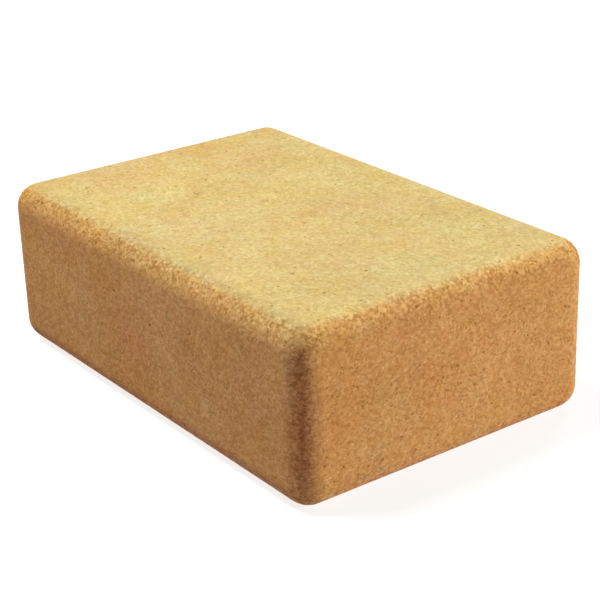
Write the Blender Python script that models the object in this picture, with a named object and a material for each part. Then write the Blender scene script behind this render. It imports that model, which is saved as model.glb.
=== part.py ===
"""A hand-sized cork block: one solid brick of pressed cork granules with rounded edges.

Metres, +Z up.  The origin is the centre of the underside, so the block stands on z = 0.
X runs along the length, Y across the width and Z through the thickness.
"""
import bmesh
import bpy

# Driving dimensions: a brick of about 9 x 6 x 3 inches.
LENGTH = 0.228
WIDTH = 0.152
HEIGHT = 0.078

# All twelve edges have one radius, and the eight corners become ball-shaped.
EDGE_RADIUS = 0.011
EDGE_SEGMENTS = 10

# The corner faces meet along shared edges, so nothing further apart than this is merged.
MERGE_DISTANCE = 0.00001

# Sanded cork: warm tan, dull and not metallic.
CORK_COLOUR = (0.56, 0.35, 0.15, 1.0)
CORK_ROUGHNESS = 0.9
CORK_METALLIC = 0.0


def remove_scene_objects():
    """Start from an empty scene."""
    for scene_object in list(bpy.data.objects):
        bpy.data.objects.remove(scene_object, do_unlink=True)


def make_cork_material():
    """Plain cork: the block's average colour and its dull finish."""
    material = bpy.data.materials.new("cork")
    material.use_nodes = True
    shader = material.node_tree.nodes["Principled BSDF"]
    shader.inputs["Base Color"].default_value = CORK_COLOUR
    shader.inputs["Roughness"].default_value = CORK_ROUGHNESS
    shader.inputs["Metallic"].default_value = CORK_METALLIC
    material.diffuse_color = CORK_COLOUR
    return material


def make_cork_block():
    """The brick, standing on z = 0, with every edge rounded to the same radius."""
    shape = bmesh.new()
    bmesh.ops.create_cube(shape, size=1.0)
    bmesh.ops.scale(shape, vec=(LENGTH, WIDTH, HEIGHT), verts=shape.verts)
    bmesh.ops.translate(shape, vec=(0.0, 0.0, HEIGHT / 2), verts=shape.verts)
    bmesh.ops.bevel(
        shape,
        geom=shape.edges[:],
        offset=EDGE_RADIUS,
        offset_type="OFFSET",
        segments=EDGE_SEGMENTS,
        profile=0.5,
        affect="EDGES",
        clamp_overlap=True,
    )
    bmesh.ops.remove_doubles(shape, verts=shape.verts, dist=MERGE_DISTANCE)
    bmesh.ops.recalc_face_normals(shape, faces=shape.faces)

    mesh = bpy.data.meshes.new("cork_block")
    shape.to_mesh(mesh)
    shape.free()
    mesh.shade_smooth()

    block = bpy.data.objects.new("cork_block", mesh)
    block.data.materials.append(make_cork_material())
    bpy.context.scene.collection.objects.link(block)
    return block


remove_scene_objects()
make_cork_block()
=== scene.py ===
"""Looks for the cork block: one brick of pressed cork granules on a plain white studio floor.

Everything is in metres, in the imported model's frame: +Z up, the block standing on z = 0,
X along its length and Y across its width.
"""
from types import SimpleNamespace

import bpy
import numpy as np
from mathutils import Matrix, Vector


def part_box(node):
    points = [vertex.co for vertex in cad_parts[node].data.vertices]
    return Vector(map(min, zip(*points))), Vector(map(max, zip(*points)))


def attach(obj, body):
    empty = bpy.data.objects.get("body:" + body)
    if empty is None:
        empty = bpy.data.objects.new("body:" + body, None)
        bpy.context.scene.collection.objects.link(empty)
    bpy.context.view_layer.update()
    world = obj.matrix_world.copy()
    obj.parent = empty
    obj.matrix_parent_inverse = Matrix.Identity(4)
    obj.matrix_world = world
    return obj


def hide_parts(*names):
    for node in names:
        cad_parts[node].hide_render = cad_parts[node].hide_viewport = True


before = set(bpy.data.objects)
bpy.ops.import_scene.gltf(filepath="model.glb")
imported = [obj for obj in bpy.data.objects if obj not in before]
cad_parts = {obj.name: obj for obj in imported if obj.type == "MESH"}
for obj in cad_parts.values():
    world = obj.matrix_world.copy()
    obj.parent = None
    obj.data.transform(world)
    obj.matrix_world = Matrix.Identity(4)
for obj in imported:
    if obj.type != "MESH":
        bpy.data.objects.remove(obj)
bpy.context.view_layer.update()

# The block's outer corners come from the CAD, and its edge radius repeats the CAD's.
BLOCK_LOW, BLOCK_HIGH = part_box("cork_block")
BLOCK_CENTRE = (BLOCK_LOW + BLOCK_HIGH) / 2
BLOCK_HALF = (BLOCK_HIGH - BLOCK_LOW) / 2
EDGE_RADIUS = 0.011

# Camera: where it stands round the block, in degrees, and how far off, in metres.
CAMERA_AZIMUTH = 54.16
CAMERA_ELEVATION = 23.02
CAMERA_ROLL = -1.86
CAMERA_DISTANCE = 0.7392
CAMERA_SIDESTEP = 0.00684
CAMERA_DROP = 0.00431
CAMERA_LENS_MM = 98.62
CAMERA_SENSOR_MM = 36.0

# Fill light from the room, below and above eye level.
FILL_BELOW = (0.515, 0.369, 0.359)
FILL_ABOVE = (0.093, 0.065, 0.048)

# Floor: it glows, so that the block's shadow on it stays pale and the distance is white.
FLOOR_HALF_SIZE = 30.0
FLOOR_COLOUR = (0.33, 0.375, 0.485)
FLOOR_GLOW_NEAR = 0.80
FLOOR_GLOW_FAR = 1.0
FLOOR_NEAR_RADIUS = 0.3
FLOOR_FAR_RADIUS = 1.2

# Mesh of the sanded surface. Lengths are in metres, and the grain is deepest on the edges.
MESH_SPACING = 0.00115
CELLS_PER_HALF_EDGE = 7
MESH_SHUFFLE = 0.0003
SURFACE_SEED = 1806
GRAIN_DEPTH = 0.00003
FULLY_ROUND = 0.2
PIT_SHARE = 0.004
PIT_DEPTH = 0.0003
SHALLOWEST_PIT = 0.3

# Granules and patches of the cork, in millimetres across. The sizes are chosen for the look.
# Granules are drawn wider than they are tall, on the assumption that the block was pressed
# along Z.
GRANULE_SPREAD = 1.2
COARSE_GRANULE = 1.9
FINE_GRANULE = 1.0
TINY_GRANULE = 0.5
DUST = 0.6
SPECK_SPACING = 2.0
SPECK_RADIUS = 0.65
SMALL_PATCH = 7.0
LARGE_PATCH = 35.0
OUTLINE_WANDER = 0.8
WANDER_LENGTH = 1.3

# Reflectances of the cork, painted light that makes its two broad faces paler and yellower than
# its sides, the swings of tint from patch to patch and end to end, and painted shade on its four
# upright edges.
DARK_CORK = (0.40, 0.20, 0.060)
MID_CORK = (0.64, 0.36, 0.140)
PALE_CORK = (0.86, 0.56, 0.27)
# Bark's colour also darkens the open pits, as painted shade.
BARK_AND_PIT_SHADE = (0.22, 0.085, 0.015)
FLECK = (0.94, 0.71, 0.42)
PAINTED_LIGHT_ON_BROAD_FACES = (1.03, 1.36, 1.70)
STRAW_SWING = (0.0, 0.22, 0.34)
BLUE_SWING = (0.0, 0.0, 0.38)
PALER_END = (0.0, 0.03, 0.06)
PAINTED_EDGE_SHADE = (0.97, 0.90, 0.80)

ROUGHNESS_PALE = 0.82
ROUGHNESS_DARK = 0.95
SPECULAR_LEVEL = 0.3

# How far up or down the surface faces (0 to 1) where the painted light of the broad faces starts,
# and how squarely it faces between two sides where the painted shade of the upright edges starts
# and is full.
BROAD_FACE_START = 0.76
EDGE_SHADE_START = 0.48
EDGE_SHADE_FULL = 0.70

# How far the surface turns from its nearest axis before it counts as rounded.
ROUNDED_START = 0.01
ROUNDED_FULL = 0.15

# How much each granule size and patch size adds to the tone.
COARSE_TONE = 0.26
FINE_TONE = 0.90
TINY_TONE = 0.14
DUST_TONE = 0.38
SMALL_PATCH_TONE = 0.4
LARGE_PATCH_TONE = 0.65
LARGE_PATCH_STRAW = 1.5

# The grain stands out more on rounded edges and less on the broad faces.
EDGE_CONTRAST = 0.55
BROAD_FACE_CONTRAST = -0.36

# Flecks are the few brightest tiny granules. Specks are bark, in a share of the speck cells.
FLECK_START = 0.95
FLECK_STRENGTH = 0.65
FLECK_LOSS_ON_BROAD_FACES = 0.45
SPECK_START = 0.55
SPECK_BLUR = 0.04
SPECK_PALEST = -0.2
SPECK_DARKEST = 1.2
# Open pits, darkened with bark's colour as painted shade.
HOLLOW_RAGGEDNESS = 0.5
HOLLOW_START = 0.55
HOLLOW_FULL = 0.95
SUNK_STRENGTH = 0.8

# Relief that the shading adds to the mesh, in millimetres at each pattern's full strength.
FINE_RELIEF = -0.05
COARSE_RELIEF = 0.02
DUST_RELIEF = 0.06
SUNK_RELIEF = -0.06


def direction_from(azimuth, elevation):
    """Unit vector that points from the block towards a place round it, in degrees."""
    azimuth, elevation = np.radians([azimuth, elevation])
    return Vector((
        np.sin(azimuth) * np.cos(elevation),
        -np.cos(azimuth) * np.cos(elevation),
        np.sin(elevation),
    ))


# ---------------------------------------------------------------- camera and studio


def add_camera():
    """A long lens that looks down on the near corner of the block."""
    back = direction_from(CAMERA_AZIMUTH, CAMERA_ELEVATION)
    level_right = Vector((0.0, 0.0, 1.0)).cross(back).normalized()
    level_up = back.cross(level_right)
    turn = Matrix.Rotation(np.radians(CAMERA_ROLL), 3, back)
    right = turn @ level_right
    up = turn @ level_up

    data = bpy.data.cameras.new("camera")
    data.sensor_width = CAMERA_SENSOR_MM
    data.lens = CAMERA_LENS_MM
    data.clip_start = 0.01
    data.clip_end = 100.0
    camera = bpy.data.objects.new("camera", data)
    place = BLOCK_CENTRE + back * CAMERA_DISTANCE + right * CAMERA_SIDESTEP - up * CAMERA_DROP
    axes = Matrix((right, up, back)).transposed()
    camera.matrix_world = Matrix.Translation(place) @ axes.to_4x4()
    bpy.context.scene.collection.objects.link(camera)
    bpy.context.scene.camera = camera


def add_softbox(name, azimuth, elevation, distance, spread, colour):
    """A round soft light. spread is its width in degrees, as seen from the block.

    colour is how brightly it lights a white surface that faces it from the block's centre.
    """
    towards = direction_from(azimuth, elevation)
    data = bpy.data.lights.new(name, "AREA")
    data.shape = "DISK"
    data.size = 2 * distance * np.tan(np.radians(spread / 2))
    data.color = np.array(colour) / max(colour)
    data.energy = max(colour) * (np.pi * distance) ** 2
    softbox = bpy.data.objects.new(name, data)
    softbox.location = BLOCK_CENTRE + towards * distance
    softbox.rotation_euler = towards.to_track_quat("Z", "Y").to_euler()
    softbox.visible_camera = False
    bpy.context.scene.collection.objects.link(softbox)


def add_lights():
    """One light high in front, a low one on the right, and a weak one behind."""
    add_softbox("high_front", -43.6, 63.7, 1.38, 23, (0.912, 0.916, 0.719))
    add_softbox("low_right", 134.0, 14.0, 1.41, 8, (0.74, 0.63, 0.42))
    add_softbox("back", -159.1, 48.0, 1.84, 20, (0.153, 0.167, 0.153))


def add_world():
    """A white room to the eye, and a weak warm fill light on the block."""
    world = bpy.data.worlds.new("studio")
    world.use_nodes = True
    n = Nodes(world.node_tree)
    n.tree.nodes.clear()

    height = n.add("SeparateXYZ")
    n.plug(n.add("TexCoord").outputs["Generated"], height.inputs[0])
    above = n.math("GREATER_THAN", height.outputs["Z"], 0.0)
    fill = n.add("Background")
    n.plug(n.blend(above, rgba(FILL_BELOW), rgba(FILL_ABOVE)), fill.inputs["Color"])
    room = n.add("Background")
    n.plug(rgba((1.0, 1.0, 1.0)), room.inputs["Color"])

    seen = n.add("MixShader")
    n.plug(n.add("LightPath").outputs["Is Camera Ray"], seen.inputs[0])
    n.plug(fill.outputs[0], seen.inputs[1])
    n.plug(room.outputs[0], seen.inputs[2])
    n.plug(seen.outputs[0], n.add("OutputWorld").inputs["Surface"])
    bpy.context.scene.world = world


def floor_material():
    """White, and glowing more brightly away from the block."""
    material = bpy.data.materials.new("white_floor")
    material.use_nodes = True
    n = Nodes(material.node_tree)
    shader = n.tree.nodes["Principled BSDF"]
    shader.inputs["Base Color"].default_value = rgba(FLOOR_COLOUR)
    shader.inputs["Roughness"].default_value = 1.0
    shader.inputs["Specular IOR Level"].default_value = 0.0
    shader.inputs["Emission Color"].default_value = rgba((1.0, 1.0, 1.0))
    reach = n.vector("LENGTH", n.add("TexCoord").outputs["Object"])
    far = n.ramp(reach, FLOOR_NEAR_RADIUS, FLOOR_FAR_RADIUS)
    glow = n.total((far, FLOOR_GLOW_FAR - FLOOR_GLOW_NEAR), (1.0, FLOOR_GLOW_NEAR))
    n.plug(glow, shader.inputs["Emission Strength"])
    return material


def add_floor():
    """A wide white floor. Its bounce is left out, so the block's sides keep their shade."""
    s = FLOOR_HALF_SIZE
    mesh = bpy.data.meshes.new("floor")
    mesh.from_pydata([(-s, -s, 0.0), (s, -s, 0.0), (s, s, 0.0), (-s, s, 0.0)], [], [(0, 1, 2, 3)])
    mesh.materials.append(floor_material())
    floor = bpy.data.objects.new("floor", mesh)
    floor.visible_diffuse = False
    floor.visible_glossy = False
    floor.visible_shadow = False
    bpy.context.scene.collection.objects.link(floor)


# ---------------------------------------------------------------- mesh of the block


def axis_stations(half_length):
    """Where the mesh lines cross one axis: the flat part's place, and the slope of the edge.

    The slope is 0 along the flat part and runs to 1 (45 degrees) halfway round an edge.
    """
    flat_half = half_length - EDGE_RADIUS
    flat_cells = round(2 * flat_half / MESH_SPACING)
    flat = np.linspace(-flat_half, flat_half, flat_cells + 1)
    bend = np.tan(np.linspace(0.0, np.pi / 4, CELLS_PER_HALF_EDGE + 1)[1:])
    ends = np.full(CELLS_PER_HALF_EDGE, flat_half)
    place = np.concatenate([-ends, flat, ends])
    slope = np.concatenate([-bend[::-1], np.zeros(flat_cells + 1), bend])
    return place, slope


def smooth_brick():
    """Points and triangles of the rounded brick about its centre.

    The mesh lines form a box-shaped lattice. A lattice point on the skin has a core point, on
    the box that is left when the edge radius is taken off, and lies one radius out from it.
    """
    stations = [axis_stations(half) for half in BLOCK_HALF]
    counts = [len(place) for place, _ in stations]
    steps = np.indices(counts)
    on_skin = np.zeros(counts, bool)
    for axis, count in enumerate(counts):
        on_skin |= (steps[axis] == 0) | (steps[axis] == count - 1)
    number = np.full(counts, -1)
    number[on_skin] = np.arange(on_skin.sum())

    core = np.stack([stations[axis][0][steps[axis][on_skin]] for axis in range(3)], axis=1)
    slope = np.stack([stations[axis][1][steps[axis][on_skin]] for axis in range(3)], axis=1)
    outward = slope / np.linalg.norm(slope, axis=1, keepdims=True)

    chance = np.random.default_rng(SURFACE_SEED)
    triangles = []
    for axis in range(3):
        for side in (0, -1):
            sheet = np.take(number, side, axis=axis)
            if (side == -1) == (axis == 1):
                sheet = sheet.T
            corners = [sheet[:-1, :-1], sheet[1:, :-1], sheet[1:, 1:], sheet[:-1, 1:]]
            quads = np.stack(corners, axis=-1).reshape(-1, 4)
            turned = chance.random(len(quads)) < 0.5
            quads[turned] = np.roll(quads[turned], 1, axis=1)
            triangles += [quads[:, [0, 1, 2]], quads[:, [0, 2, 3]]]
    return core + EDGE_RADIUS * outward, np.concatenate(triangles)


def onto_brick(points):
    """The nearest places on the smooth brick, and the way out of it there."""
    inner = np.array(BLOCK_HALF) - EDGE_RADIUS
    core = np.clip(points, -inner, inner)
    outward = points - core
    outward /= np.linalg.norm(outward, axis=1, keepdims=True)
    return core + EDGE_RADIUS * outward, outward


def shuffled(points, chance):
    """The points moved a little along the surface, so that no mesh line shows."""
    _, outward = onto_brick(points)
    moves = chance.uniform(-MESH_SHUFFLE, MESH_SHUFFLE, points.shape)
    moves -= outward * np.sum(moves * outward, axis=1, keepdims=True)
    return onto_brick(points + moves)


def make_cork_surface():
    """The sanded block as a fine mesh, with its granules and open pits sunk into it."""
    points, triangles = smooth_brick()
    chance = np.random.default_rng(SURFACE_SEED + 1)
    points, outward = shuffled(points, chance)

    roundness = np.clip((1.0 - np.abs(outward).max(axis=1)) / FULLY_ROUND, 0.0, 1.0)
    grain = GRAIN_DEPTH * (1.0 + roundness) * (1.0 + np.abs(chance.normal(size=len(points))))
    is_pit = chance.random(len(points)) < PIT_SHARE
    pit = np.where(is_pit, chance.uniform(SHALLOWEST_PIT, 1.0, len(points)), 0.0)
    depth = grain + PIT_DEPTH * pit
    points = points - outward * depth[:, None] + np.array(BLOCK_CENTRE)

    mesh = bpy.data.meshes.new("cork_surface")
    mesh.from_pydata(points.tolist(), [], triangles.tolist())
    mesh.shade_smooth()
    mesh.attributes.new("pit", "FLOAT", "POINT").data.foreach_set("value", pit.astype(np.float32))
    block = bpy.data.objects.new("cork_surface", mesh)
    bpy.context.scene.collection.objects.link(block)
    return block


# ---------------------------------------------------------------- material


def rgba(colour):
    return (*colour, 1.0)


class Nodes:
    """Short calls for building one node tree."""

    def __init__(self, tree):
        self.tree = tree

    def add(self, kind, **settings):
        node = self.tree.nodes.new("ShaderNode" + kind)
        for name, value in settings.items():
            setattr(node, name, value)
        return node

    def plug(self, value, socket):
        """Links an output to a socket, or sets the socket's own value."""
        if isinstance(value, bpy.types.NodeSocket):
            self.tree.links.new(value, socket)
        else:
            socket.default_value = value

    def math(self, operation, first, second=0.0, clamp=False):
        node = self.add("Math", operation=operation, use_clamp=clamp)
        self.plug(first, node.inputs[0])
        self.plug(second, node.inputs[1])
        return node.outputs[0]

    def total(self, *weighted):
        """Sum of (output, weight) pairs."""
        result = 0.0
        for output, weight in weighted:
            node = self.add("Math", operation="MULTIPLY_ADD")
            self.plug(output, node.inputs[0])
            self.plug(weight, node.inputs[1])
            self.plug(result, node.inputs[2])
            result = node.outputs[0]
        return result

    def centred(self, *weighted):
        """Sum of (output, weight) pairs that each average a half, moved to average 0."""
        return self.total(*weighted, (1.0, -sum(weight for _, weight in weighted) / 2))

    def ramp(self, value, low, high, kind="SMOOTHSTEP"):
        """0 below low and 1 above high."""
        node = self.add("MapRange", interpolation_type=kind)
        self.plug(value, node.inputs["Value"])
        self.plug(low, node.inputs["From Min"])
        self.plug(high, node.inputs["From Max"])
        return node.outputs[0]

    def blend(self, factor, first, second, how="MIX"):
        node = self.add("Mix", data_type="RGBA", blend_type=how)
        self.plug(factor, node.inputs["Factor"])
        self.plug(first, node.inputs["A"])
        self.plug(second, node.inputs["B"])
        return node.outputs["Result"]

    def vector(self, operation, first, second=None, third=None):
        node = self.add("VectorMath", operation=operation)
        for value, socket in zip((first, second, third), node.inputs):
            if value is not None:
                self.plug(value, socket)
        return node.outputs["Value" if operation in ("LENGTH", "DOT_PRODUCT") else "Vector"]

    def parts(self, colour):
        node = self.add("SeparateXYZ")
        self.plug(colour, node.inputs[0])
        return node.outputs

    def repeated(self, value):
        node = self.add("CombineXYZ")
        for socket in node.inputs:
            self.plug(value, socket)
        return node.outputs[0]

    def noise(self, vector, size, detail=2.0):
        """Cloudy noise whose blotches are about size wide: its grey, and three more greys."""
        node = self.add("TexNoise", noise_dimensions="3D")
        self.plug(vector, node.inputs["Vector"])
        self.plug(1.0 / size, node.inputs["Scale"])
        self.plug(detail, node.inputs["Detail"])
        return node.outputs["Fac"], self.parts(node.outputs["Color"])

    def cells(self, vector, size):
        """A packing of cells about size wide: distance from each cell's middle, and its draw."""
        node = self.add("TexVoronoi", voronoi_dimensions="3D", feature="F1")
        self.plug(vector, node.inputs["Vector"])
        self.plug(1.0 / size, node.inputs["Scale"])
        return node.outputs["Distance"], self.parts(node.outputs["Color"])


def same(number):
    return (number, number, number)


def way_out(n, place):
    """How far the surface faces along X, Y and Z (0 to 1 each), from the place alone."""
    inner = [half - EDGE_RADIUS for half in BLOCK_HALF]
    from_centre = n.vector("ABSOLUTE", n.vector("SUBTRACT", place, tuple(BLOCK_CENTRE)))
    beyond = n.vector("SUBTRACT", from_centre, tuple(inner))
    beyond = n.vector("MAXIMUM", beyond, same(0.0))
    return n.parts(n.vector("NORMALIZE", beyond))


def cork_patterns(n, place):
    """The granules, specks, dust and patches that run through the cork."""
    millimetres = n.vector("MULTIPLY", place, same(1000.0))
    pressed = n.vector("DIVIDE", millimetres, (GRANULE_SPREAD, GRANULE_SPREAD, 1.0))
    wander = n.add("TexNoise")
    n.plug(pressed, wander.inputs["Vector"])
    n.plug(1.0 / WANDER_LENGTH, wander.inputs["Scale"])
    warped = n.vector("MULTIPLY_ADD", wander.outputs["Color"], same(OUTLINE_WANDER), pressed)
    _, coarse = n.cells(warped, COARSE_GRANULE)
    fine_reach, fine = n.cells(warped, FINE_GRANULE)
    _, tiny = n.cells(pressed, TINY_GRANULE)
    speck_reach, speck = n.cells(warped, SPECK_SPACING)
    dust, _ = n.noise(pressed, DUST)
    small_patch, small_hue = n.noise(millimetres, SMALL_PATCH)
    large_patch, large_hue = n.noise(millimetres, LARGE_PATCH)
    return SimpleNamespace(
        coarse=coarse, fine=fine, fine_reach=fine_reach, tiny=tiny, dust=dust,
        speck=speck, speck_reach=speck_reach,
        small_patch=small_patch, small_hue=small_hue,
        large_patch=large_patch, large_hue=large_hue,
    )


def cork_tone(n, cork, contrast):
    """How far each place is towards the palest granules, and towards the darkest (0 to 1)."""
    grain = n.centred(
        (cork.coarse["X"], COARSE_TONE),
        (cork.fine["X"], FINE_TONE),
        (cork.tiny["X"], TINY_TONE),
        (cork.dust, DUST_TONE),
    )
    drift = n.centred((cork.small_patch, SMALL_PATCH_TONE), (cork.large_patch, LARGE_PATCH_TONE))
    tone = n.total((grain, contrast), (drift, 1.0))
    pale = n.ramp(tone, 0.0, 1.0, "LINEAR")
    dark = n.ramp(n.math("MULTIPLY", tone, -1.0), 0.0, 1.0, "LINEAR")
    return pale, dark


def flecks(n, cork, broad_face):
    """How much of each place is a pale fleck."""
    strength = n.total((broad_face, -FLECK_LOSS_ON_BROAD_FACES), (1.0, FLECK_STRENGTH))
    return n.math("MULTIPLY", n.ramp(cork.tiny["Z"], FLECK_START, 1.0), strength)


def dark_spots(n, cork):
    """How much of each place is a bark speck, or an open pit darkened as painted shade."""
    size = n.ramp(cork.speck["Y"], SPECK_START, 1.0, "LINEAR")
    size = n.math("MULTIPLY", size, SPECK_RADIUS / SPECK_SPACING)
    bark = n.ramp(n.math("SUBTRACT", size, cork.speck_reach), -SPECK_BLUR, SPECK_BLUR)
    darkness = n.ramp(cork.speck["X"], SPECK_PALEST, SPECK_DARKEST, "LINEAR")
    bark = n.math("MULTIPLY", bark, darkness)
    pit = n.add("Attribute", attribute_name="pit").outputs["Fac"]
    shaded_pit = n.ramp(n.total((pit, 1.0), (cork.dust, HOLLOW_RAGGEDNESS)), HOLLOW_START, HOLLOW_FULL)
    return n.math("MAXIMUM", bark, shaded_pit)


def patch_tint(n, cork, place):
    """The tint that drifts over the block in patches, and from one end to the other."""
    straw = n.centred((cork.small_hue["Y"], 1.0), (cork.large_hue["Y"], LARGE_PATCH_STRAW))
    blue = n.centred((cork.small_hue["Z"], 1.0), (cork.large_hue["Z"], 1.0))
    along = n.math("DIVIDE", n.parts(place)["X"], BLOCK_HALF.x)
    tint = same(1.0)
    for amount, swing in ((straw, STRAW_SWING), (blue, BLUE_SWING), (along, PALER_END)):
        tint = n.vector("MULTIPLY_ADD", n.repeated(amount), swing, tint)
    return tint


def tinted(n, amount, colour, tint):
    """The colour with this much of the tint laid over it."""
    return n.blend(amount, colour, n.blend(1.0, colour, rgba(tint), "MULTIPLY"))


def cork_material():
    """Sanded pressed cork: packed granules of mixed tone, bark specks, flecks and pits."""
    material = bpy.data.materials.new("pressed_cork")
    material.use_nodes = True
    n = Nodes(material.node_tree)
    shader = n.tree.nodes["Principled BSDF"]

    place = n.add("TexCoord").outputs["Object"]
    facing = way_out(n, place)
    broad_face = n.ramp(facing["Z"], BROAD_FACE_START, 1.0)
    # Mask of the painted shade down the middle of the four upright edges.
    edge_shade_mask = n.ramp(
        n.math("MINIMUM", facing["X"], facing["Y"]), EDGE_SHADE_START, EDGE_SHADE_FULL
    )
    most = n.math("MAXIMUM", facing["X"], n.math("MAXIMUM", facing["Y"], facing["Z"]))
    rounded = n.ramp(n.math("SUBTRACT", 1.0, most), ROUNDED_START, ROUNDED_FULL)
    contrast = n.total((rounded, EDGE_CONTRAST), (broad_face, BROAD_FACE_CONTRAST), (1.0, 1.0))

    cork = cork_patterns(n, place)
    pale, dark = cork_tone(n, cork, contrast)
    sunk = dark_spots(n, cork)
    colour = n.blend(dark, rgba(MID_CORK), rgba(DARK_CORK))
    colour = n.blend(pale, colour, rgba(PALE_CORK))
    colour = n.blend(flecks(n, cork, broad_face), colour, rgba(FLECK))
    # Bark specks, and painted shade in the open pits.
    colour = n.blend(n.math("MULTIPLY", sunk, SUNK_STRENGTH), colour, rgba(BARK_AND_PIT_SHADE))
    # Painted light: the broad faces are tinted paler and yellower than the sides.
    colour = tinted(n, broad_face, colour, PAINTED_LIGHT_ON_BROAD_FACES)
    colour = n.vector("MULTIPLY", colour, patch_tint(n, cork, place))
    # Painted shade: the upright edges darker and more saturated along their middle.
    colour = tinted(n, edge_shade_mask, colour, PAINTED_EDGE_SHADE)
    n.plug(colour, shader.inputs["Base Color"])

    roughness = n.total((dark, ROUGHNESS_DARK - ROUGHNESS_PALE), (1.0, ROUGHNESS_PALE))
    n.plug(roughness, shader.inputs["Roughness"])
    shader.inputs["Specular IOR Level"].default_value = SPECULAR_LEVEL

    relief = n.total(
        (cork.fine_reach, FINE_RELIEF),
        (cork.coarse["Y"], COARSE_RELIEF),
        (cork.dust, DUST_RELIEF),
        (sunk, SUNK_RELIEF),
    )
    bump = n.add("Bump")
    n.plug(n.math("MULTIPLY", relief, contrast), bump.inputs["Height"])
    bump.inputs["Strength"].default_value = 1.0
    bump.inputs["Distance"].default_value = 0.001
    n.plug(bump.outputs[0], shader.inputs["Normal"])
    return material


# ---------------------------------------------------------------- put together

bpy.context.scene.view_settings.view_transform = "Standard"
add_camera()
add_lights()
add_world()
add_floor()

block = make_cork_surface()
block.data.materials.append(cork_material())
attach(block, "root")
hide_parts("cork_block")
